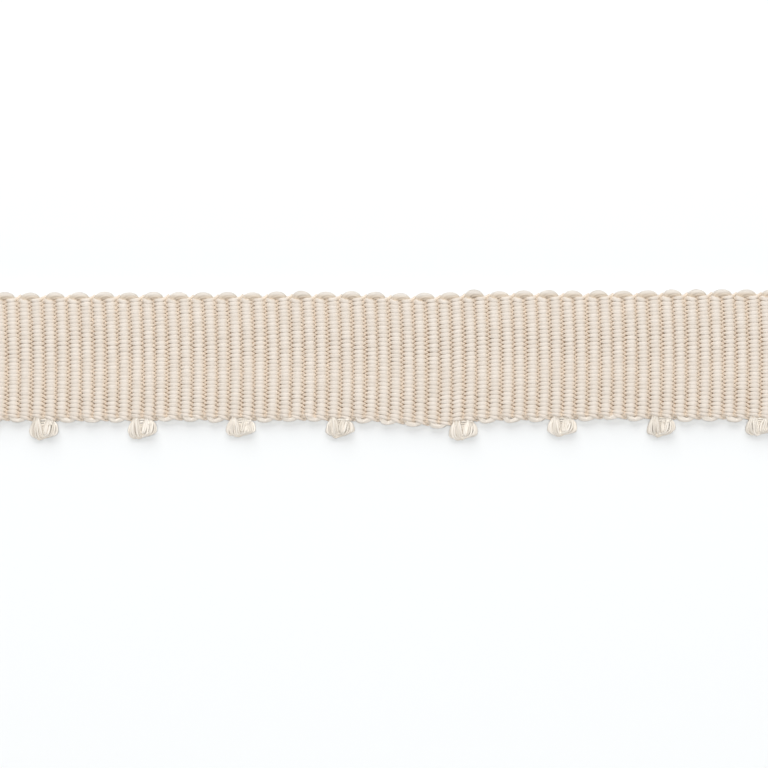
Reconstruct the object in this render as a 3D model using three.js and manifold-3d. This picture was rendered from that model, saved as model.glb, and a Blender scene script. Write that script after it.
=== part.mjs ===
// A cut length of picot grosgrain ribbon, lying flat. Millimetres, +Z up.
// X runs along the ribbon, Y across it, and Z = 0 is the surface that it lies on.
// One thick weft cord goes to and fro across fine warps. Each pass is a rib, each turn shows
// at an edge, and every fourth turn of the lower edge is let out into a picot of loose strands.

import * as THREE from 'three';
import { mergeVertices } from 'three/addons/utils/BufferGeometryUtils.js';
import Module from 'manifold-3d';

// The ribs
const RIB_COUNT = 67;
const RIB_PITCH = 1.36;
const RIB_THICKNESS = 1.3;
const MID_HEIGHT = RIB_THICKNESS / 2;
const MIDDLE_RIB = (RIB_COUNT - 1) / 2;
const VALLEY = 0.5; // a rib's valleys lie half a pitch from its middle

// How far ribs stray from even spacing: two waves, each with its turn from one rib to the next
const WANDER = [
  { size: 0.024, turn: 2.4, start: 0 },
  { size: 0.016, turn: 5.3, start: 1 },
];

// One rib in section: a place across it, as a share of the pitch, and the heights of its two
// faces there. The valley on its other side is the next rib's first row.
const RIB_PROFILE = [
  { across: -VALLEY, top: 0.95, bottom: 0.35 },
  { across: -0.3, top: 1.18, bottom: 0 },
  { across: 0, top: RIB_THICKNESS, bottom: 0 },
  { across: 0.3, top: 1.18, bottom: 0 },
];

// The woven edges as the ribbon lies: the Y of each edge at places along X
const LAY = [
  { at: -45.6, upper: 7.43, lower: -6.08 },
  { at: -31.7, upper: 7.47, lower: -6.13 },
  { at: -21.1, upper: 7.47, lower: -6.02 },
  { at: -10.6, upper: 7.53, lower: -6.05 },
  { at: -2.2, upper: 7.52, lower: -6.11 },
  { at: 3.3, upper: 7.34, lower: -6.52 },
  { at: 6.2, upper: 7.45, lower: -6.74 },
  { at: 10.0, upper: 7.62, lower: -6.15 },
  { at: 13.9, upper: 7.65, lower: -6.02 },
  { at: 24.5, upper: 7.67, lower: -5.89 },
  { at: 35.8, upper: 7.76, lower: -5.93 },
  { at: 45.6, upper: 7.77, lower: -6.02 },
];
const VALLEY_INSET = 0.12; // how far a valley stops short of its edge
const SHORT_RIB_INSET = 0.27; // how far the upper edge's warp holds back every other rib

// The weft cord's turns
const CORD_RADIUS = 0.5;
const CORD_SIDES = 5;
const TURN_STEPS = 4;
const UPPER_TURN_INSET = 0.48; // from an edge in to where its turns start to bend
const LOWER_TURN_INSET = 0.83;
const ROUND_TURN = 4 / 3; // a cubic curve's handle length for a half circle, in radii

// The picots: the rib on the left of each, and how far it hangs past the lower edge
const PICOTS = [
  { rib: 5, drop: 2.1 },
  { rib: 13, drop: 2.03 },
  { rib: 21, drop: 1.85 },
  { rib: 29, drop: 1.8 },
  { rib: 39, drop: 1.93 },
  { rib: 47, drop: 1.92 },
  { rib: 55, drop: 1.88 },
  { rib: 63, drop: 1.76 },
];

// A picot's nested strands, the upper layer lying in the gaps of the lower one: half a strand's
// width at its roots and at its widest, and its depth as a share of the picot's drop
const STRANDS = [
  { layer: 0, root: 0.34, reach: 0.4, depth: 0.46 },
  { layer: 0, root: 0.58, reach: 0.76, depth: 0.64 },
  { layer: 0, root: 0.82, reach: 1.11, depth: 0.82 },
  { layer: 0, root: 1.06, reach: 1.46, depth: 1 },
  { layer: 1, root: 0.46, reach: 0.58, depth: 0.55 },
  { layer: 1, root: 0.7, reach: 0.94, depth: 0.73 },
  { layer: 1, root: 0.94, reach: 1.29, depth: 0.91 },
];

// A strand's way round below the ribbon's edge, left to right: shares of its two half widths and
// of its depth. The left leg hangs lower than the right one.
const STRAND_ROUTE = [
  { root: -0.7, reach: -0.3, down: 0 },
  { root: 0, reach: -1, down: 0.5 },
  { root: 0, reach: -0.45, down: 1 },
  { root: 0, reach: 0.3, down: 0.97 },
  { root: 0, reach: 0.97, down: 0.42 },
  { root: 0.7, reach: 0.3, down: 0 },
];
const STRAND_LAYERS = 2;
const STRAND_LIFT = 0.02; // the lower layer lies this close to the surface
const STRAND_GAP = 0.12; // between the layers
const STRAND_WIDTH = 0.25;
const STRAND_HEIGHT = (RIB_THICKNESS - 2 * STRAND_LIFT - STRAND_GAP) / STRAND_LAYERS;
const STRAND_ROOT = 0.45; // how far a strand runs into the ribbon
const STRAND_STEPS = 7;

const CREAM = 0xdfd2c3;
const ROUGHNESS = 0.75;

const wasm = await Module();
wasm.setup();

// Where the edges lie

function edgeAt(x, side) {
  const next = Math.max(1, LAY.findIndex((row) => row.at >= x));
  const [from, to] = [LAY[next - 1], LAY[next]];
  const share = THREE.MathUtils.smoothstep(x, from.at, to.at);
  return THREE.MathUtils.lerp(from[side], to[side], share);
}

function ribCentre(rib) {
  const even = (rib - MIDDLE_RIB) * RIB_PITCH;
  return WANDER.reduce((x, { size, turn, start }) => x + size * Math.sin(turn * rib + start), even);
}

// Solids from geometry

function toSolid(geometry) {
  geometry.deleteAttribute('normal');
  geometry.deleteAttribute('uv');
  const merged = mergeVertices(geometry);
  const vertProperties = merged.attributes.position.array;
  const triVerts = new Uint32Array(merged.index.array);
  return new wasm.Manifold(new wasm.Mesh({ numProp: 3, vertProperties, triVerts }));
}

function sweep(curve, section, steps) {
  const settings = { steps, extrudePath: curve, bevelEnabled: false };
  return toSolid(new THREE.ExtrudeGeometry(section, settings));
}

// The woven band: one closed section for each place across each rib

function bandSection(rib, { across, top, bottom }) {
  const x = ribCentre(rib) + across * RIB_PITCH;
  const inValley = Math.abs(across) === VALLEY;
  const inset = inValley ? VALLEY_INSET : 0;
  const held = !inValley && rib % 2 === 0 ? SHORT_RIB_INSET : 0;
  const lower = edgeAt(x, 'lower') + inset;
  const upper = edgeAt(x, 'upper') - inset - held;
  return [
    [x, lower, bottom],
    [x, upper, bottom],
    [x, upper, top],
    [x, lower, top],
  ];
}

function wovenBand() {
  const sections = [];
  for (let rib = 0; rib < RIB_COUNT; rib += 1) {
    for (const row of RIB_PROFILE) {
      sections.push(bandSection(rib, row));
    }
  }
  const lastValley = { ...RIB_PROFILE[0], across: VALLEY };
  sections.push(bandSection(RIB_COUNT - 1, lastValley));

  const around = sections[0].length;
  const faces = [];
  for (let row = 0; row + 1 < sections.length; row += 1) {
    for (let side = 0; side < around; side += 1) {
      const here = row * around + side;
      const beside = row * around + ((side + 1) % around);
      faces.push(here, beside, here + around);
      faces.push(beside, beside + around, here + around);
    }
  }
  const last = (sections.length - 1) * around;
  for (let corner = 1; corner + 1 < around; corner += 1) {
    faces.push(0, corner + 1, corner);
    faces.push(last, last + corner, last + corner + 1);
  }

  const geometry = new THREE.BufferGeometry();
  geometry.setAttribute('position', new THREE.Float32BufferAttribute(sections.flat(2), 3));
  geometry.setIndex(faces);
  return toSolid(geometry);
}

// A turn of the weft cord from one rib to the next, outwards at the given edge

function cordTurn(rib, side, inset) {
  const outwards = side === 'upper' ? 1 : -1;
  const left = ribCentre(rib);
  const right = ribCentre(rib + 1);
  const start = edgeAt((left + right) / 2, side) - outwards * inset;
  const handle = start + outwards * ROUND_TURN * ((right - left) / 2);
  const curve = new THREE.CubicBezierCurve3(
    new THREE.Vector3(left, start, MID_HEIGHT),
    new THREE.Vector3(left, handle, MID_HEIGHT),
    new THREE.Vector3(right, handle, MID_HEIGHT),
    new THREE.Vector3(right, start, MID_HEIGHT),
  );
  const corners = [];
  for (let corner = 0; corner < CORD_SIDES; corner += 1) {
    const angle = (2 * Math.PI * corner) / CORD_SIDES;
    corners.push(new THREE.Vector2(CORD_RADIUS * Math.cos(angle), CORD_RADIUS * Math.sin(angle)));
  }
  return sweep(curve, new THREE.Shape(corners), TURN_STEPS);
}

// A picot: loose strands that leave the left rib, loop down and go back into the right one

function strandCurve(middle, edge, drop, strand, height) {
  const depth = drop * strand.depth - STRAND_WIDTH / 2;
  const place = (x, y) => new THREE.Vector3(middle + x, y, height);
  const route = STRAND_ROUTE.map(({ root, reach, down }) =>
    place(root * strand.root + reach * strand.reach, edge - down * depth),
  );
  const rootEnd = edge + STRAND_ROOT;
  return new THREE.CatmullRomCurve3([place(-strand.root, rootEnd), ...route, place(strand.root, rootEnd)]);
}

function picotStrands({ rib, drop }) {
  const middle = (ribCentre(rib) + ribCentre(rib + 1)) / 2;
  const edge = edgeAt(middle, 'lower');
  const halfHeight = STRAND_HEIGHT / 2;
  const halfWidth = STRAND_WIDTH / 2;
  const section = new THREE.Shape([
    new THREE.Vector2(-halfHeight, -halfWidth),
    new THREE.Vector2(halfHeight, -halfWidth),
    new THREE.Vector2(halfHeight, halfWidth),
    new THREE.Vector2(-halfHeight, halfWidth),
  ]);
  return STRANDS.map((strand) => {
    const height = STRAND_LIFT + halfHeight + strand.layer * (STRAND_HEIGHT + STRAND_GAP);
    return sweep(strandCurve(middle, edge, drop, strand, height), section, STRAND_STEPS);
  });
}

// The whole ribbon, woven in one piece

function ribbonSolid() {
  const picotRibs = new Set(PICOTS.map((picot) => picot.rib));
  const pieces = [wovenBand()];
  for (let rib = 0; rib + 1 < RIB_COUNT; rib += 1) {
    if (rib % 2 === 0) {
      pieces.push(cordTurn(rib, 'upper', UPPER_TURN_INSET));
    } else if (!picotRibs.has(rib)) {
      pieces.push(cordTurn(rib, 'lower', LOWER_TURN_INSET));
    }
  }
  for (const picot of PICOTS) {
    pieces.push(...picotStrands(picot));
  }
  return pieces.reduce((whole, piece) => whole.add(piece));
}

function solidToGeometry(solid) {
  const { vertProperties, triVerts } = solid.getMesh();
  const geometry = new THREE.BufferGeometry();
  geometry.setAttribute('position', new THREE.BufferAttribute(vertProperties, 3));
  geometry.setIndex(new THREE.BufferAttribute(triVerts, 1));
  geometry.computeVertexNormals();
  return geometry;
}

const cloth = new THREE.MeshStandardMaterial({ color: CREAM, roughness: ROUGHNESS, metalness: 0 });
const ribbon = new THREE.Mesh(solidToGeometry(ribbonSolid()), cloth);
ribbon.name = 'ribbon';

const part = new THREE.Group();
part.add(ribbon);

export default part;
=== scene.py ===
"""A flat length of picot grosgrain ribbon, thread by thread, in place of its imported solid.

Sizes are in millimetres until a mesh is made, which is in metres. X runs along the ribbon,
Y across it, and Z = 0 is the surface that it lies on.
"""

import math

import bpy
import numpy as np
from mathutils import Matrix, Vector


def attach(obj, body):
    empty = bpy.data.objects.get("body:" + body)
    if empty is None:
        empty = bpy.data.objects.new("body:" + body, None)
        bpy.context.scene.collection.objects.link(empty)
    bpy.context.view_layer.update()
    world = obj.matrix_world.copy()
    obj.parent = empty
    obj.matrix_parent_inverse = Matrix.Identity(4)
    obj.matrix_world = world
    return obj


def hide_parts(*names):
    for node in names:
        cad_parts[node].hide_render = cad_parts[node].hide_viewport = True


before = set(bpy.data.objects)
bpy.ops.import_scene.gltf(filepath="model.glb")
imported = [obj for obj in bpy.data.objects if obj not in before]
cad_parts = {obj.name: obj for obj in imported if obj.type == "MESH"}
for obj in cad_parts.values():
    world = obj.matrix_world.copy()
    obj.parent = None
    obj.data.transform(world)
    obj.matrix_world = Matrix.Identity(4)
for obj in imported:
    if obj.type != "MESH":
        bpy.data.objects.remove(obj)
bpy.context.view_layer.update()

SEED = 7
rng = np.random.default_rng(SEED)
MM = 0.001

# The ribs: the solid's count, pitch and wander, and a slow bend along each
RIB_COUNT = 67
RIB_PITCH = 1.36
MIDDLE_RIB = (RIB_COUNT - 1) / 2
MID_HEIGHT = 0.65
WANDER = ((0.024, 2.4, 0.0), (0.016, 5.3, 1.0))  # size, turn from rib to rib, start
BOW = (0.03, -0.68, 0.42)  # shift at its peak, fall away from it, the peak's place across
RIPPLE = (0.025, 0.8, 0.37)  # size, waves across the ribbon, shift from rib to rib

# The woven edges as the solid has them: places along X, and the Y of each edge there
LAY_AT = (-45.6, -31.7, -21.1, -10.6, -2.2, 3.3, 6.2, 10.0, 13.9, 24.5, 35.8, 45.6)
LAY_UPPER = (7.43, 7.47, 7.47, 7.53, 7.52, 7.34, 7.45, 7.62, 7.65, 7.67, 7.76, 7.77)
LAY_LOWER = (-6.08, -6.13, -6.02, -6.05, -6.11, -6.52, -6.74, -6.15, -6.02, -5.89, -5.93, -6.02)

# How deep a place counts for its painted shade, where a crest is 0: full painted valley shade at
# VALLEY_DEPTH, full painted hole shade at HOLE_DEPTH
VALLEY_DEPTH = 1.0
HOLE_DEPTH = 2.0
MEAN_TINT = 0.5  # half way from the dark threads to the light ones

# The warps
END_COUNT = 60
WARP_GROUPS = 3
WARP_SIDES = 8
WARP_TWIST = 1.2  # radians in a millimetre
WARP_STRAY = 0.01  # how far a warp strays across the ribbon, from rib to rib
LOWER_MARGIN = 0.12  # from the lower edge to the first warp's outer side
UPPER_MARGIN = 0.27
SPACING_WAVES = 2  # waves in the warps' spacing, across the ribbon
SPACING_SHARE = 0.055  # how much the spacing varies in them
SPACING_PEAK = 0.62  # a place where the warps lie furthest apart
CORD_RADIUS = 0.46
WARP_HALF_HEIGHT = 0.085
WRAP_RADIUS = CORD_RADIUS + WARP_HALF_HEIGHT
CROSSING_HALF_WIDTH = 0.098
CROSSING_HALF_HEIGHT = 0.13

# A float from left to right: degrees round its cord, half its width, and its depth, which sets its
# painted shade
FLOAT_PLACES = (
    (-64.0, 0.187, 0.6),
    (-46.0, 0.237, 0.4),
    (-24.0, 0.243, 0.1),
    (0.0, 0.285, 0.0),
    (24.0, 0.306, 0.2),
    (46.0, 0.27, 0.8),
    (62.0, 0.217, 1.0),
)
FLOAT_LIFT = (0.007, 0.02)  # how much floats differ in height, as a rule and at most
FLOAT_SPREAD = (0.035, 0.9, 1.04)  # and in width: as a rule, the narrowest and the widest share

# The warps beside the edges
NARROW_WARPS = 2  # how many at each edge are narrower
LOWER_NARROWING = 0.72
UPPER_NARROWING = 0.78
SHADED_EDGE_WARPS = 3  # how many at the lower edge take more painted shade where they cross between ribs
SHADED_CROSSING = 1.3  # the depth of their painted shade there
EDGE_TILT = 0.25  # how far a float at the lower edge slants, from its middle to an end
EDGE_TILT_REACH = 0.28
EDGE_SLOPE = 0.045  # and how far all floats near that edge do
EDGE_ARCH = 0.1  # how far their middles lie inside their ends
EDGE_REACH = 1.6  # of that slope and arch
FIRST_NOTCH = 1.5  # the first gap at the upper edge that no scallop spans, in ribs
NOTCH_RISE = 0.42  # how far out the warps bulge there
NOTCH_SWELL = 1.3  # how much wider they are
NOTCH_REACH = 0.4

# The ground inside the warps
GROUND_ANGLES = np.radians((-84.0, -60.0, -38.0, -14.0, 14.0, 38.0, 60.0, 84.0))  # round each cord
GROUND_DEPTHS = (2.0, 2.0, 2.0, 1.4, 1.0, 1.0, 1.0, 1.4, 1.7)  # the depth of its painted shade: in the valley, then at each angle
GROUND_WEB = 0.05  # half its thickness between the cords
GROUND_END_DEPTH = 0.8  # the depth of the painted shade on its outermost rows
GROUND_NEXT_DEPTH = 1.2  # the most painted shade for the row beside the lower edge
GROUND_REACH = (0.01, 0.977)  # where it ends, as shares of the way from the lower edge to the upper
GROUND_ROWS = 24

# The weft cord where it shows, with its strands as lobes
SCALLOP_LOBES = 8
SCALLOP_LOBE_DEPTH = 0.2
TURN_LOBES = 5
TURN_LOBE_DEPTH = 0.22
LOBE_STEPS = 6
CORD_TWIST = 0.5  # radians in a millimetre
CORD_TINTS = (0.2, 0.8)

# The scallops
SCALLOP_INSET = 0.48  # from the upper edge in to where a scallop starts to bend
SCALLOP_RISE = 0.59  # from there out to the cord's middle
SCALLOP_UNEVEN = 0.04  # how much scallops differ in that
SCALLOP_LEAN = 0.05  # how far they lean to a side
SCALLOP_BULGE = 0.22  # how much their sides swell
SCALLOP_PINCH = 0.32  # how much flatter the cord is where the outermost warp holds it
SCALLOP_SHADE = (0.32, -0.02)  # past the edge, where the cord's shade begins, and where it is full
SCALLOP_STEPS = 13
LEG_LENGTH = 1.1  # how far each end runs on into its rib
LEG_STEPS = 3

# A small turn from left to right: its place in rib pitches from its middle and in millimetres
# inwards from the lower edge, its height, and half the cord's width and height
TURN_ROUTE = (
    (-0.5, 1.5, 0.65, 0.42, 0.42),
    (-0.5, 0.8, 0.69, 0.44, 0.42),
    (-0.5, 0.45, 0.77, 0.43, 0.36),
    (-0.45, 0.14, 0.9, 0.38, 0.26),
    (-0.24, -0.03, 0.91, 0.28, 0.19),
    (-0.02, -0.08, 0.84, 0.23, 0.15),
    (0.2, 0.0, 0.91, 0.25, 0.17),
    (0.4, 0.17, 0.94, 0.31, 0.22),
    (0.5, 0.45, 0.79, 0.38, 0.34),
    (0.5, 1.5, 0.65, 0.42, 0.42),
)
TURN_STEPS = 27
TURN_LENGTH = 4.0  # along the cord, for its twist
TURN_UNEVEN = 0.065  # how much turns differ in reach
TURN_LEAN = 0.09  # how much they lean to a side, as a share of the pitch

# The picots: the rib on the left of each, and how far it hangs past the lower edge
PICOTS = (
    (5, 2.1),
    (13, 2.03),
    (21, 1.85),
    (29, 1.8),
    (39, 1.93),
    (47, 1.92),
    (55, 1.88),
    (63, 1.76),
)

# A picot from left to right: its place in rib pitches from its middle and in shares of its drop,
# the height of its bundle of strands, and the bundle's spread sideways, upwards and outwards
PICOT_ROUTE = (
    (-0.5, 0.45, 0.64, 0.85, 0.8, 0.0),
    (-0.52, 0.0, 0.68, 0.85, 0.85, 0.0),
    (-0.58, -0.36, 0.67, 1.5, 0.85, 0.0),
    (-0.58, -0.72, 0.52, 1.75, 0.65, 0.35),
    (-0.38, -0.8, 0.34, 1.35, 0.3, 0.9),
    (0.02, -0.71, 0.42, 0.95, 0.2, 0.95),
    (0.4, -0.7, 0.66, 1.3, 0.35, 0.65),
    (0.58, -0.63, 0.87, 1.95, 0.65, 0.25),
    (0.6, -0.28, 0.72, 1.7, 0.9, 0.0),
    (0.52, 0.0, 0.68, 0.9, 0.85, 0.0),
    (0.5, 0.45, 0.64, 0.85, 0.8, 0.0),
)
PICOT_STEPS = 44
PICOT_TWIST = (-2.4, -0.8)  # radians from a picot's left end to its right one, most and least
PICOT_SHADE = (0.6, 0.2)  # the heights where its strands begin to take painted shade and where it is full

# A picot's strands
STRAND_RINGS = ((0.1, 6), (0.25, 8), (0.38, 15))  # radius in the bundle, and number, from inside
RING_START = 0.3  # where a ring's first strand lies, as a share of the step to the next one
STRAND_RADIUS = 0.117
STRAND_SIDES = 7
STRAND_TWIST = 2.0  # radians in a millimetre
STRAND_STRAY = 0.052
STRAY_POINTS = 6
STRAND_UNEVEN = 0.05  # how much strands differ in how far out they turn
INNER_REACH = (-0.04, 0.85)  # how far out those of the inner ring turn, as shares of the others'
SHORT_LIFT = 0.29  # how much higher a strand lies that doesn't turn out at all

# The map for baking: shares of its width, and of each thread's strip
BAKE_MAP = "OFBake"
STRIP_ENDS = (0.01, 0.99)
STRIP_MARGIN = 0.04
CAP_PLACES = (0.004, 0.996)
CAP_SIZE = (0.003, 0.4)
GROUND_STRIPS = (0.5, 0.0)  # where the ground's face and its back start
GROUND_STRIP = 0.49

# The yarns, and the painted shade of their valleys and holes
# Painted shade: the warm darker colour a thread takes down in the valleys between ribs
PAINTED_VALLEY_SHADE = (0.805, 0.695, 0.575)
SCALLOP_SHADOW = (0.58, 0.49, 0.39)
# Painted shade: the colour of picot strands that hang low and turn under
PAINTED_TIP_SHADE = (0.71, 0.635, 0.535)
# Painted shade: the dark of the holes where the warps dive between ribs
PAINTED_HOLE_SHADE = (0.295, 0.195, 0.12)
YARN_COLOURS = {  # the dark threads, the light ones, and the painted shade in the valleys
    "warp_yarn": ((0.672, 0.605, 0.535), (0.726, 0.66, 0.592), PAINTED_VALLEY_SHADE),
    "weft_yarn": ((0.74, 0.68, 0.61), (0.81, 0.755, 0.685), PAINTED_VALLEY_SHADE),
    # the scallops: the weft yarn painted darker as shade on the arches
    "scallop_weft_painted_shade": ((0.62, 0.575, 0.52), (0.69, 0.645, 0.59), SCALLOP_SHADOW),
    # the small turns: the weft yarn with its tone set as painted light and shade
    "turn_weft_painted_light_and_shade": ((0.71, 0.645, 0.57), (0.77, 0.71, 0.635), PAINTED_VALLEY_SHADE),
    # the picots: the weft yarn painted lighter as light on the loose strands, its tone random from
    # strand to strand
    "picot_weft_painted_light": ((0.69, 0.63, 0.548), (0.885, 0.83, 0.755), PAINTED_TIP_SHADE),
}
YARN_GLOSS = {
    "Roughness": 0.65,
    "Specular IOR Level": 0.35,
    "Sheen Weight": 0.2,
    "Sheen Roughness": 0.4,
}

# The fibres, as streaks in a noise
FIBRE_ALONG = 0.5  # the noise's steps in a millimetre along a thread
FIBRE_AROUND = 2.2  # the radius in the noise that stands for a thread's girth
FIBRE_APART = 7.3  # from one thread to the next
GROUND_FIBRE = (6.0, 0.5, 6.0)  # steps in a millimetre on the ground's cords
FIBRE_SCALE = 2.4
FIBRE_DETAIL = 4.0
STREAK_NOISE = (0.3, 0.7)
STREAK_LIGHT = (0.93, 1.04)  # a streak's brightness for that range of the noise
FIBRE_BUMP = 0.02  # how far fibres stand out
BUMP_STRENGTH = 0.65

# A colour mix node's sockets
MIX_SHARE = 0
MIX_START = 6
MIX_END = 7
MIX_RESULT = 2

# The floor and light, in metres and watts
FLOOR_SIZE = 6.0
FLOOR_COLOUR = (0.825, 0.84, 0.845)
FLOOR_GLOSS = {"Roughness": 0.9, "Specular IOR Level": 0.1}
WORLD_COLOUR = (1.0, 1.0, 1.0)
WORLD_STRENGTH = 0.12
LAMPS = (  # name, place, size, power
    ("top", (0, 0, 1.2), 0.3, 9.4),
    ("key", (0, 0.85, 0.65), 1.1, 10.3),
    ("fill", (0, -1.0, 0.13), 0.25, 2.3),
)

# The camera, straight above
FRAME_WIDTH = 84.48
FRAME_MIDDLE = (0.03, -2.12)  # the X and Y in the middle of the picture
CREST_HEIGHT = 1.2
LENS = 200.0
SENSOR = 36.0


# Where things lie

def smooth_between(x, values):
    """The value at each X, eased from each place in LAY_AT to the next."""
    at = np.array(LAY_AT)
    values = np.array(values)
    left = np.clip(np.searchsorted(at, x) - 1, 0, len(at) - 2)
    share = np.clip((x - at[left]) / (at[left + 1] - at[left]), 0, 1)
    share = share * share * (3 - 2 * share)
    return values[left] + share * (values[left + 1] - values[left])


def lower_edge(x):
    return smooth_between(x, LAY_LOWER)


def upper_edge(x):
    return smooth_between(x, LAY_UPPER)


def across_y(x, across):
    return lower_edge(x) + across * (upper_edge(x) - lower_edge(x))


def rib_centre(rib):
    x = (rib - MIDDLE_RIB) * RIB_PITCH
    for size, turn, start in WANDER:
        x = x + size * np.sin(turn * rib + start)
    return x


def rib_x(rib, across):
    """The X of a rib's middle, at a share of the way from the lower edge to the upper one."""
    peak, fall, place = BOW
    bow = peak + fall * (across - place) ** 2
    size, waves, shift = RIPPLE
    ripple = size * np.sin(2 * np.pi * (waves * across + shift * rib))
    return rib_centre(rib) + bow + ripple


def lower_gap_x(rib):
    """The X half way from a rib's lower end to the next one's."""
    return (rib_x(rib, 0.0) + rib_x(rib + 1, 0.0)) / 2


# Directions and curves

def unit(vectors):
    return vectors / np.linalg.norm(vectors, axis=-1, keepdims=True)


def around(sides):
    """The angles of a ring's corners."""
    return 2 * np.pi * np.arange(sides) / sides


def cross_ways(centres):
    """The level direction across each path, and the one square to both."""
    ahead = unit(np.gradient(centres, axis=1))
    vertical = np.zeros_like(centres)
    vertical[..., 2] = 1
    across = unit(np.cross(vertical, ahead))
    return across, np.cross(ahead, across)


def smooth_path(points, count):
    """Rows evenly along a smooth curve through the given ones, with any number of columns."""
    points = np.array(points)
    before = 2 * points[:1] - points[1:2]
    after = 2 * points[-1:] - points[-2:-1]
    padded = np.concatenate([before, points, after])
    places = np.linspace(0, len(points) - 1, count)
    left = np.minimum(places.astype(int), len(points) - 2)
    share = (places - left)[:, None]
    a, b, c, d = (padded[left + step] for step in range(4))
    slope = c - a
    square = 2 * a - 5 * b + 4 * c - d
    cube = 3 * b - a - 3 * c + d
    return 0.5 * (2 * b + slope * share + square * share ** 2 + cube * share ** 3)


# Meshes

def tube_uv(paths, rings, sides):
    """A strip of the map for each path, with its two end caps beside it."""
    path = np.arange(paths)[:, None]
    along = np.linspace(*STRIP_ENDS, rings)
    girth = np.arange(sides + 1) / sides
    v = (path + STRIP_MARGIN + (1 - 2 * STRIP_MARGIN) * girth) / paths
    corners = np.empty((paths, rings - 1, sides, 4, 2))
    corners[..., 0, 0] = corners[..., 1, 0] = along[None, :-1, None]
    corners[..., 2, 0] = corners[..., 3, 0] = along[None, 1:, None]
    corners[..., 0, 1] = corners[..., 3, 1] = v[:, None, :-1]
    corners[..., 1, 1] = corners[..., 2, 1] = v[:, None, 1:]

    angle = around(sides)
    wide, tall = CAP_SIZE
    caps = np.empty((2, paths, sides, 2))
    for end, middle in enumerate(CAP_PLACES):
        caps[end, :, :, 0] = middle + wide * np.cos(angle)
        caps[end, :, :, 1] = (path + 0.5 + tall * np.sin(angle)) / paths
    caps[0] = caps[0, :, ::-1]
    return np.concatenate([corners.reshape(-1, 2), caps.reshape(-1, 2)])


def mesh_object(name, points, corners, starts, flat_from, uv, tint, depth, fibre):
    """A piece whose faces start at the given corners, and are flat from a given one on."""
    mesh = bpy.data.meshes.new(name)
    mesh.vertices.add(len(points))
    mesh.vertices.foreach_set("co", (points * MM).astype(np.float32).ravel())
    mesh.loops.add(len(corners))
    mesh.loops.foreach_set("vertex_index", corners.astype(np.int32))
    mesh.polygons.add(len(starts))
    mesh.polygons.foreach_set("loop_start", starts.astype(np.int32))
    mesh.polygons.foreach_set("use_smooth", np.arange(len(starts)) < flat_from)
    mesh.update(calc_edges=True)
    mesh.uv_layers.new(name=BAKE_MAP).uv.foreach_set("vector", uv.astype(np.float32).ravel())
    for label, values in (("tint", tint), ("depth", depth)):
        data = mesh.attributes.new(label, "FLOAT", "POINT").data
        data.foreach_set("value", values.astype(np.float32))
    data = mesh.attributes.new("fibre", "FLOAT_VECTOR", "POINT").data
    data.foreach_set("vector", fibre.astype(np.float32).ravel())
    piece = bpy.data.objects.new(name, mesh)
    bpy.context.scene.collection.objects.link(piece)
    return piece


def tube_faces(paths, rings, sides):
    """The corners of each tube's sides and then of its caps, where each face starts, and how many
    faces are sides."""
    number = np.arange(paths * rings * sides).reshape(paths, rings, sides)
    here, there = number[:, :-1], number[:, 1:]
    quads = np.stack([here, np.roll(here, -1, 2), np.roll(there, -1, 2), there], -1)
    caps = np.stack([number[:, 0, ::-1], number[:, -1]])
    corners = np.concatenate([quads.ravel(), caps.ravel()])
    side_count = quads.size // 4
    cap_starts = quads.size + sides * np.arange(2 * paths)
    starts = np.concatenate([4 * np.arange(side_count), cap_starts])
    return corners, starts, side_count


def tube_fibre(centres, sides, twist):
    """Each corner's place in the noise, which runs along its thread and twists round it."""
    paths, rings = centres.shape[:2]
    length = np.zeros((paths, rings, 1))
    steps = np.linalg.norm(np.diff(centres, axis=1), axis=-1)
    length[:, 1:, 0] = np.cumsum(steps, axis=1)
    turned = around(sides) + twist * length
    fibre = np.empty((paths, rings, sides, 3))
    fibre[..., 0] = FIBRE_ALONG * length + FIBRE_APART * np.arange(paths)[:, None, None]
    fibre[..., 1] = FIBRE_AROUND * np.cos(turned)
    fibre[..., 2] = FIBRE_AROUND * np.sin(turned)
    return fibre.reshape(-1, 3)


def tubes(name, centres, ways, halves, tint, depth, shape, twist):
    """One closed tube along each path, with centres of (paths, rings, 3).

    ways are the directions across and up, halves the half width and height along them, and
    shape scales each corner of a ring.
    """
    paths, rings = centres.shape[:2]
    sides = shape.shape[-1]
    across, up = ways
    half_width, half_height = halves
    angle = around(sides)
    out = half_width[..., None] * np.cos(angle) * shape
    rise = half_height[..., None] * np.sin(angle) * shape
    aside = out[..., None] * across[:, :, None]
    points = centres[:, :, None] + aside + rise[..., None] * up[:, :, None]
    corners, starts, side_count = tube_faces(paths, rings, sides)
    tints = np.repeat(tint.ravel(), sides)
    depths = np.broadcast_to(depth, (paths, rings, sides)).ravel()
    return mesh_object(name, points.reshape(-1, 3), corners, starts, side_count,
                       tube_uv(paths, rings, sides), tints, depths, tube_fibre(centres, sides, twist))


# The warps: each end goes over one rib and under the next, and its neighbour the other way

def warp_places(ends):
    """How far across the ribbon each warp lies, as a share of the way between its margins."""
    even = (ends + 0.5) / END_COUNT
    turn = 2 * math.pi * SPACING_WAVES
    wave = np.sin(turn * (even - SPACING_PEAK)) + math.sin(turn * SPACING_PEAK)
    return even + SPACING_SHARE * wave / turn


def with_between(values, before, after):
    """A value for each gap between ribs, the mean of its two ribs', and one outside each end."""
    between = (values[:, 1:] + values[:, :-1]) / 2
    return np.concatenate([values[:, :1] + before, between, values[:, -1:] + after], 1)


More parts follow.
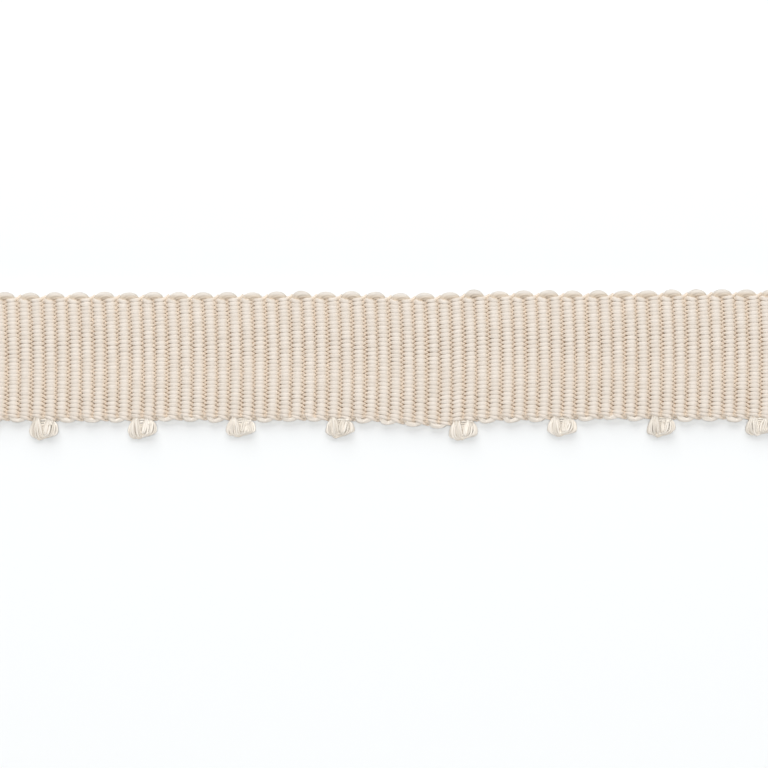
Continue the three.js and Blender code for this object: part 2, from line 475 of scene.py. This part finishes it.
def float_chances(ends):
    """What differs from float to float: lift, share of the width, tint and stray."""
    size = (len(ends), RIB_COUNT)
    usual, most = FLOAT_LIFT
    lift = rng.normal(0, usual, size).clip(-most, most)
    usual, least, most = FLOAT_SPREAD
    width = rng.normal(1, usual, size).clip(least, most)
    width[ends < NARROW_WARPS] *= LOWER_NARROWING
    width[ends >= END_COUNT - NARROW_WARPS] *= UPPER_NARROWING
    tint = rng.uniform(0, 1, size)
    stray = rng.normal(0, WARP_STRAY, size)
    return lift, width, tint, stray


def lower_edge_pull(from_edge, along, ends):
    """How far across the ribbon floats near the lower edge move as they slant and arch."""
    near = np.exp(-from_edge / EDGE_REACH)
    swing = np.sin(np.pi * along) * np.where(ends % 2 == 0, 1.0, -1.0)[:, None]
    slant = EDGE_TILT * np.exp(-from_edge / EDGE_TILT_REACH) * np.abs(swing) + EDGE_SLOPE * near
    arch = EDGE_ARCH * near * (np.abs(np.cos(np.pi * along)) - 0.5)
    return arch - slant * swing


def upper_notch(from_edge, along):
    """How free a warp is, from 0 to 1, near the gaps that no scallop spans."""
    free = np.clip(np.cos(np.pi * (along - FIRST_NOTCH)), 0, 1) ** 2
    return free * np.exp(-from_edge / NOTCH_REACH)


def warp_piece(name, ends):
    across = warp_places(ends)[:, None]
    ribs = np.arange(RIB_COUNT)[None, :]
    middle = rib_x(ribs, across)
    side = np.where((ribs + ends[:, None]) % 2 == 0, 1.0, -1.0)
    lift, width, float_tint, stray = float_chances(ends)

    steps = len(FLOAT_PLACES) + 1
    x = np.empty((len(ends), RIB_COUNT * steps + 1))
    z, half_width, half_height, tint, depth, aside = (np.empty_like(x) for _ in range(6))
    x[:, ::steps] = with_between(middle, -RIB_PITCH / 2, RIB_PITCH / 2)
    z[:, ::steps] = MID_HEIGHT
    half_width[:, ::steps] = CROSSING_HALF_WIDTH
    half_height[:, ::steps] = CROSSING_HALF_HEIGHT
    tint[:, ::steps] = MEAN_TINT
    # painted shade where the warps cross between ribs, deeper for those at the lower edge
    depth[:, ::steps] = np.where(ends < SHADED_EDGE_WARPS, SHADED_CROSSING, VALLEY_DEPTH)[:, None]
    aside[:, ::steps] = with_between(stray, 0, 0)
    for step, (degrees, float_width, float_depth) in enumerate(FLOAT_PLACES):
        place = slice(step + 1, None, steps)
        angle = math.radians(degrees)
        x[:, place] = middle + WRAP_RADIUS * math.sin(angle)
        z[:, place] = MID_HEIGHT + side * (WRAP_RADIUS * math.cos(angle) + lift)
        half_width[:, place] = float_width * width
        half_height[:, place] = WARP_HALF_HEIGHT
        tint[:, place] = float_tint
        depth[:, place] = float_depth
        aside[:, place] = stray

    low = lower_edge(x) + LOWER_MARGIN
    high = upper_edge(x) - UPPER_MARGIN
    y = low + across * (high - low)
    along = (x - rib_centre(0)) / RIB_PITCH
    y = y + lower_edge_pull(y - low, along, ends)
    notch = upper_notch(high - y, along)
    y = y + NOTCH_RISE * notch + aside
    half_width = half_width * (1 + NOTCH_SWELL * notch)

    centres = np.stack([x, y, z], -1)
    ahead = unit(np.gradient(centres, axis=1))
    up = unit(np.stack([-ahead[..., 2], np.zeros_like(x), ahead[..., 0]], -1))
    across_way = np.zeros_like(up)
    across_way[..., 1] = 1
    shape = np.ones((1, 1, WARP_SIDES))
    return tubes(name, centres, (across_way, up), (half_width, half_height),
                 tint, depth[..., None], shape, WARP_TWIST)


# The ground: the weft cords side by side as one ribbed sheet, inside the warps, coloured mostly with
# painted valley and hole shade

def ground_grid():
    """The X, Y and half thickness of the ground, in rows from its lower edge to its upper one."""
    places = CORD_RADIUS * np.sin(GROUND_ANGLES)
    heights = np.maximum(CORD_RADIUS * np.cos(GROUND_ANGLES), GROUND_WEB)
    rows = np.linspace(*GROUND_REACH, GROUND_ROWS)[:, None]
    columns, thick = [], []
    for rib in range(RIB_COUNT):
        middle = rib_x(rib, rows)
        before = (middle + rib_x(rib - 1, rows)) / 2 if rib else middle - RIB_PITCH / 2
        columns.append(np.concatenate([before, middle + places], 1))
        thick.extend([GROUND_WEB, *heights])
    columns.append(rib_x(RIB_COUNT - 1, rows) + RIB_PITCH / 2)
    thick.append(GROUND_WEB)
    x = np.concatenate(columns, 1)
    return x, across_y(x, rows), np.broadcast_to(np.array(thick), x.shape)


def sheet_faces(rows, columns):
    """The faces of a closed sheet with a grid of points on its face and then on its back."""
    upper = np.arange(rows * columns).reshape(rows, columns)
    under = upper + rows * columns
    faces = [
        np.stack([upper[:-1, :-1], upper[:-1, 1:], upper[1:, 1:], upper[1:, :-1]], -1),
        np.stack([under[:-1, :-1], under[1:, :-1], under[1:, 1:], under[:-1, 1:]], -1),
        np.stack([upper[0, 1:], upper[0, :-1], under[0, :-1], under[0, 1:]], -1),
        np.stack([upper[-1, :-1], upper[-1, 1:], under[-1, 1:], under[-1, :-1]], -1),
        np.stack([upper[:-1, 0], upper[1:, 0], under[1:, 0], under[:-1, 0]], -1),
        np.stack([upper[1:, -1], upper[:-1, -1], under[:-1, -1], under[1:, -1]], -1),
    ]
    return np.concatenate([face.reshape(-1, 4) for face in faces])


def sheet_uv(x, y):
    """The map's strip for the sheet's face, and then the one for its back."""
    flat = np.stack([x, y], -1).reshape(-1, 2)
    low, high = flat.min(0), flat.max(0)
    strip = (flat - low) / (high - low) * (1, GROUND_STRIP)
    return np.concatenate([strip + (0, start) for start in GROUND_STRIPS])


def ground_depths(rows):
    """The depth of painted shade at each point on the ground's face and back."""
    row = np.append(np.tile(GROUND_DEPTHS, RIB_COUNT), GROUND_DEPTHS[0])
    depth = np.tile(row, (2, rows, 1))
    depth[:, [0, -1]] = GROUND_END_DEPTH
    depth[:, 1] = np.minimum(depth[:, 1], GROUND_NEXT_DEPTH)
    return depth.ravel()


def ground_piece(name):
    x, y, thick = ground_grid()
    top = np.stack([x, y, MID_HEIGHT + thick], -1)
    bottom = np.stack([x, y, MID_HEIGHT - thick], -1)
    points = np.concatenate([top.reshape(-1, 3), bottom.reshape(-1, 3)])
    quads = sheet_faces(*x.shape)
    corners = quads.ravel()
    starts = 4 * np.arange(len(quads))
    tint = np.full(len(points), MEAN_TINT)
    return mesh_object(name, points, corners, starts, len(quads), sheet_uv(x, y)[corners],
                       tint, ground_depths(len(x)), points * np.array(GROUND_FIBRE))


# The weft's turns at the upper edge: a tight cord that leaves one rib and enters the next

def lobed(count, length, lobes, deep):
    """The outline of each cord, of one lobe for each strand, as it twists along its length."""
    start = rng.uniform(0, 2 * np.pi, count)
    turned = around(lobes * LOBE_STEPS) + CORD_TWIST * length[None, :, None] + start[:, None, None]
    return 1 - deep * (1 - np.abs(np.cos(lobes / 2 * turned)))


def scallop_path(left, right, reach, lean):
    """Points from inside the left rib, round past the edge and back into the right one."""
    middle, half = (left + right) / 2, (right - left) / 2
    base = upper_edge(middle) - SCALLOP_INSET
    angle = np.linspace(0, np.pi, SCALLOP_STEPS)
    swell = 1 + SCALLOP_BULGE * np.sin(angle)
    round_x = middle - half * np.cos(angle) * swell + lean * np.sin(angle)
    round_y = base + reach * np.sin(angle)
    leg_y = base - LEG_LENGTH * (1 - np.arange(LEG_STEPS) / LEG_STEPS)
    x = np.concatenate([np.full(LEG_STEPS, left), round_x, np.full(LEG_STEPS, right)])
    y = np.concatenate([leg_y, round_y, leg_y[::-1]])
    return np.stack([x, y, np.full_like(x, MID_HEIGHT)], -1)


def scallop_piece(name):
    paths = []
    for rib in range(0, RIB_COUNT - 1, 2):
        reach = SCALLOP_RISE + rng.normal(0, SCALLOP_UNEVEN)
        lean = rng.normal(0, SCALLOP_LEAN)
        paths.append(scallop_path(rib_x(rib, 1.0), rib_x(rib + 1, 1.0), reach, lean))
    centres = np.array(paths)
    across, up = cross_ways(centres)
    count, rings = centres.shape[:2]
    length = np.linspace(0, 1, rings) * (2 * LEG_LENGTH + np.pi * SCALLOP_RISE)
    shape = lobed(count, length, SCALLOP_LOBES, SCALLOP_LOBE_DEPTH)
    half = np.full((count, rings), CORD_RADIUS)
    past_edge = centres[..., 1] - upper_edge(centres[..., 0])
    free = np.clip((past_edge + SCALLOP_INSET) / SCALLOP_RISE, 0, 1)
    half_height = half * (1 - SCALLOP_PINCH * (1 - free))
    tint = np.broadcast_to(rng.uniform(*CORD_TINTS, count)[:, None], half.shape)
    outwards = half[..., None] * shape * np.cos(around(shape.shape[-1])) * across[..., 1, None]
    begin, full = SCALLOP_SHADE
    depth = np.clip((begin - past_edge[..., None] - outwards) / (begin - full), 0, 1)
    return tubes(name, centres, (across, up), (half, half_height), tint, depth, shape, CORD_TWIST)


# The weft's small turns at the lower edge

def turn_routes():
    """The points of each turn that isn't a picot, with half the cord's width and height there.

    A turn leans most in its middle, and its legs stay in their ribs.
    """
    picot_ribs = {rib for rib, drop in PICOTS}
    routes = []
    for rib in range(1, RIB_COUNT - 1, 2):
        if rib in picot_ribs:
            continue
        middle = lower_gap_x(rib)
        edge = lower_edge(middle) + rng.normal(0, TURN_UNEVEN)
        lean = rng.normal(0, TURN_LEAN)
        route = []
        for side, inwards, *rest in TURN_ROUTE:
            shift = side + lean * (1 - (2 * side) ** 2)
            route.append((middle + shift * RIB_PITCH, edge + inwards, *rest))
        routes.append(route)
    return routes


def turn_piece(name):
    routes = np.array([smooth_path(route, TURN_STEPS) for route in turn_routes()])
    centres, halves = routes[..., :3], (routes[..., 3], routes[..., 4])
    length = np.linspace(0, TURN_LENGTH, TURN_STEPS)
    shape = lobed(len(routes), length, TURN_LOBES, TURN_LOBE_DEPTH)
    tint = np.broadcast_to(rng.uniform(*CORD_TINTS, len(routes))[:, None], centres.shape[:2])
    depth = np.zeros((1, 1, 1))
    return tubes(name, centres, cross_ways(centres), halves, tint, depth, shape, CORD_TWIST)


# The picots: turns that were let out, with their strands loose

def bundle_places(twist):
    """How far sideways and upwards each strand lies in its bundle, as the bundle twists."""
    sideways, upwards = [], []
    for radius, number in STRAND_RINGS:
        start = 2 * np.pi * (np.arange(number) + RING_START) / number
        angle = start[:, None] + twist
        sideways.append(radius * np.cos(angle))
        upwards.append(radius * np.sin(angle))
    return np.concatenate(sideways), np.concatenate(upwards)


def strays(count):
    """A slow random drift for each strand, sideways and upwards."""
    drifts = []
    for _ in range(count):
        drifts.append(smooth_path(rng.normal(0, STRAND_STRAY, (STRAY_POINTS, 2)), PICOT_STEPS))
    return np.array(drifts)


def picot_strands(rib, drop):
    """Strands that hang in two legs, fan out, and turn down and under at their ends."""
    middle = lower_gap_x(rib)
    edge = lower_edge(middle)
    route = smooth_path(PICOT_ROUTE, PICOT_STEPS)
    side, down, height, wide, tall, outwards = route.T
    twist = rng.uniform(*PICOT_TWIST) * np.linspace(0, 1, PICOT_STEPS)
    sideways, upwards = bundle_places(twist)
    drift = strays(len(sideways))
    reach = rng.normal(1, STRAND_UNEVEN, (len(sideways), 1))
    inner = STRAND_RINGS[0][1]
    reach[:inner, 0] = np.linspace(*INNER_REACH, inner)

    past_edge = np.minimum(down * drop, 0)
    x = middle + side * RIB_PITCH + sideways * wide + drift[..., 0]
    y = edge + down * drop - (1 - reach) * past_edge - reach * upwards * outwards
    z = height + upwards * tall + drift[..., 1] + SHORT_LIFT * (1 - reach)
    return np.stack([x, y, np.maximum(z, STRAND_RADIUS)], -1)


def picot_piece(name):
    centres = np.concatenate([picot_strands(rib, drop) for rib, drop in PICOTS])
    half = np.full(centres.shape[:2], STRAND_RADIUS)
    tint = np.broadcast_to(rng.uniform(0, 1, len(centres))[:, None], half.shape)
    # painted shade on strands that hang low
    begin, full = PICOT_SHADE
    depth = np.clip((begin - centres[..., 2:]) / (begin - full), 0, 1)
    shape = np.ones((1, 1, STRAND_SIDES))
    return tubes(name, centres, cross_ways(centres), (half, half), tint, depth, shape, STRAND_TWIST)


# Materials

def new_material(name, gloss):
    material = bpy.data.materials.new(name)
    material.use_nodes = True
    shader = material.node_tree.nodes["Principled BSDF"]
    for socket, value in gloss.items():
        shader.inputs[socket].default_value = value
    return material, shader


def read_attribute(tree, name):
    node = tree.nodes.new("ShaderNodeAttribute")
    node.attribute_name = name
    return node


def map_range(tree, value, before, after):
    node = tree.nodes.new("ShaderNodeMapRange")
    for socket, limit in zip(("From Min", "From Max", "To Min", "To Max"), (*before, *after)):
        node.inputs[socket].default_value = limit
    tree.links.new(value, node.inputs["Value"])
    return node.outputs["Result"]


def mix_colours(tree, share, start, end):
    """A colour between two, of which the first may come from another node."""
    node = tree.nodes.new("ShaderNodeMix")
    node.data_type = "RGBA"
    tree.links.new(share, node.inputs[MIX_SHARE])
    if isinstance(start, tuple):
        node.inputs[MIX_START].default_value = (*start, 1)
    else:
        tree.links.new(start, node.inputs[MIX_START])
    node.inputs[MIX_END].default_value = (*end, 1)
    return node.outputs[MIX_RESULT]


def fibre_noise(tree):
    node = tree.nodes.new("ShaderNodeTexNoise")
    node.inputs["Scale"].default_value = FIBRE_SCALE
    node.inputs["Detail"].default_value = FIBRE_DETAIL
    tree.links.new(read_attribute(tree, "fibre").outputs["Vector"], node.inputs["Vector"])
    return node.outputs["Fac"]


def yarn_colour(tree, fibres, dark, light, valley):
    """The thread's own colour, then painted shade for the valley and the hole by depth, streaked by
    the fibres.
    """
    depth = read_attribute(tree, "depth").outputs["Fac"]
    by_thread = mix_colours(tree, read_attribute(tree, "tint").outputs["Fac"], dark, light)
    by_depth = mix_colours(tree, depth, by_thread, valley)
    past_valley = map_range(tree, depth, (VALLEY_DEPTH, HOLE_DEPTH), (0.0, 1.0))
    in_hole = mix_colours(tree, past_valley, by_depth, PAINTED_HOLE_SHADE)
    streaks = map_range(tree, fibres, STREAK_NOISE, STREAK_LIGHT)
    node = tree.nodes.new("ShaderNodeVectorMath")
    node.operation = "SCALE"
    tree.links.new(in_hole, node.inputs[0])
    tree.links.new(streaks, node.inputs["Scale"])
    return node.outputs["Vector"]


def yarn_material(name):
    material, shader = new_material(name, YARN_GLOSS)
    tree = material.node_tree
    fibres = fibre_noise(tree)
    colour = yarn_colour(tree, fibres, *YARN_COLOURS[name])
    tree.links.new(colour, shader.inputs["Base Color"])
    bump = tree.nodes.new("ShaderNodeBump")
    bump.inputs["Strength"].default_value = BUMP_STRENGTH
    bump.inputs["Distance"].default_value = FIBRE_BUMP * MM
    tree.links.new(fibres, bump.inputs["Height"])
    tree.links.new(bump.outputs["Normal"], shader.inputs["Normal"])
    return material


def floor_material():
    material, shader = new_material("floor_paint", FLOOR_GLOSS)
    shader.inputs["Base Color"].default_value = (*FLOOR_COLOUR, 1)
    return material


# The picture's floor, light and camera

def make_floor():
    bpy.ops.mesh.primitive_plane_add(size=FLOOR_SIZE)
    floor = bpy.context.object
    floor.name = "floor"
    floor.data.materials.append(floor_material())


def make_world():
    world = bpy.data.worlds.new("soft_white")
    world.use_nodes = True
    background = world.node_tree.nodes["Background"]
    background.inputs["Color"].default_value = (*WORLD_COLOUR, 1)
    background.inputs["Strength"].default_value = WORLD_STRENGTH
    bpy.context.scene.world = world


def make_lamp(name, place, size, watts):
    """A square soft lamp that faces the ribbon."""
    lamp = bpy.data.lights.new(name, "AREA")
    lamp.size = size
    lamp.energy = watts
    holder = bpy.data.objects.new(name, lamp)
    holder.location = place
    holder.rotation_euler = Vector(place).to_track_quat("Z", "Y").to_euler()
    bpy.context.scene.collection.objects.link(holder)


def make_camera():
    camera = bpy.data.cameras.new("camera")
    camera.lens = LENS
    camera.sensor_width = SENSOR
    holder = bpy.data.objects.new("camera", camera)
    distance = FRAME_WIDTH * LENS / SENSOR
    holder.location = Vector((*FRAME_MIDDLE, CREST_HEIGHT + distance)) * MM
    bpy.context.scene.collection.objects.link(holder)
    bpy.context.scene.camera = holder


def dress(pieces, yarn):
    """Give pieces their yarn, and let them ride on the ribbon's one body."""
    material = yarn_material(yarn)
    for piece in pieces:
        piece.data.materials.append(material)
        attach(piece, "root")


make_floor()
make_world()
for lamp in LAMPS:
    make_lamp(*lamp)
make_camera()
bpy.context.scene.view_settings.view_transform = "Standard"

ground = ground_piece("ground")
warp_groups = np.array_split(np.arange(END_COUNT), WARP_GROUPS)
warps = [warp_piece(f"warp_{number}", ends) for number, ends in enumerate(warp_groups, 1)]
scallops = scallop_piece("weft_scallops")
turns = turn_piece("weft_turns")
picots = picot_piece("picots")
dress([ground], "weft_yarn")
dress(warps, "warp_yarn")
dress([scallops], "scallop_weft_painted_shade")
dress([turns], "turn_weft_painted_light_and_shade")
dress([picots], "picot_weft_painted_light")
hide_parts("ribbon")
